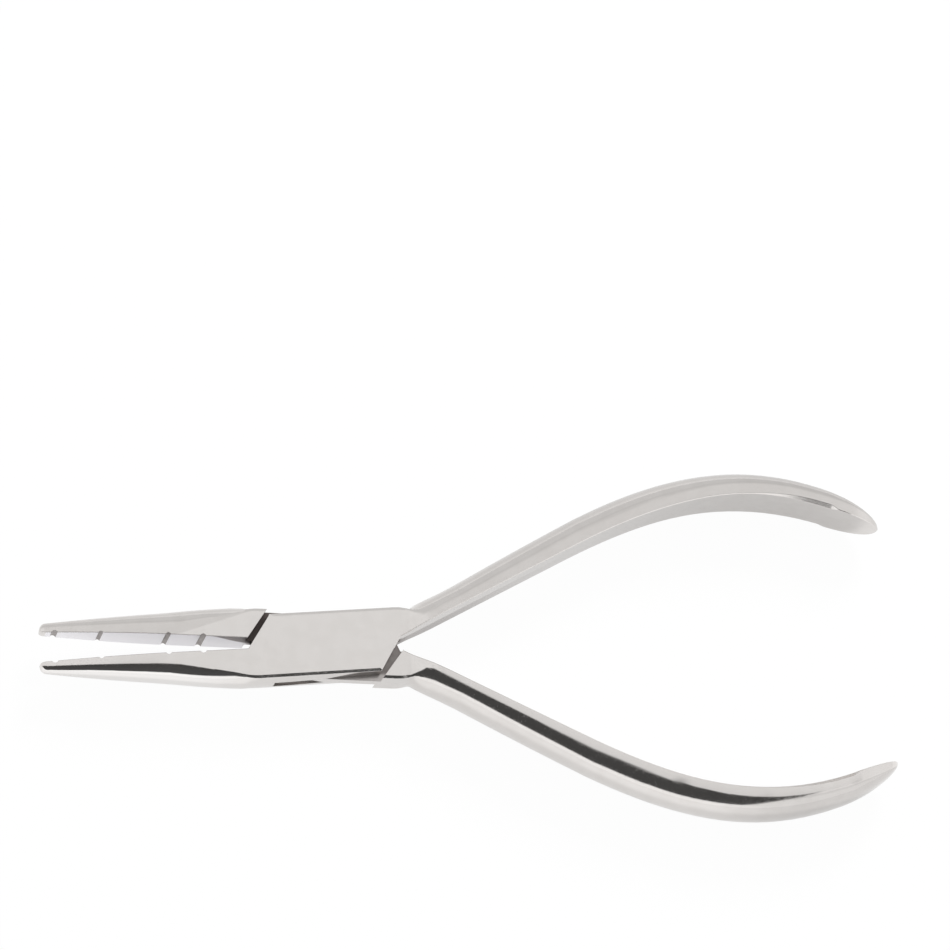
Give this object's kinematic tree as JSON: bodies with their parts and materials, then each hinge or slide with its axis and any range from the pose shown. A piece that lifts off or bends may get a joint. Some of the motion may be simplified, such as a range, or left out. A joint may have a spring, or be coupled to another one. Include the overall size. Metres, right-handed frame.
{
  "type": "wire bending pliers",
  "caption": "Slim box-joint pliers for bending dental wire, with tapering half-round jaws grooved across their flat gripping faces and bowed, unsprung handles",
  "frame": {"origin": "The origin is the point where the pivot's axis leaves the joint's flat rear face.", "axes": "+X runs along the tool from the pivot to the handles, with the jaws at -X. +Y is the direction in which the jaws and handles spread, and the female half's handle is at +Y. +Z runs along the pivot's axis, from the rear face to the front face."},
  "size_m": [0.1403, 0.0586, 0.0102],
  "materials": {
    "steel_female": "satin ground flat faces, polished round sides",
    "steel_male": "satin ground flat faces, polished round sides",
    "steel_pin": "ground flush with the rear face"
  },
  "bodies": {
    "female_half": {"female_half": "steel_female", "pivot_pin": "steel_pin"},
    "male_half": {"male_half": "steel_male"}
  },
  "joints": [
    {"name": "box_joint", "type": "hinge", "parent": "female_half", "child": "male_half", "pos_m": [0, 0, 0.00325], "axis": [0, 0, -1], "range_deg": [-5.8, 30]}
  ]
}
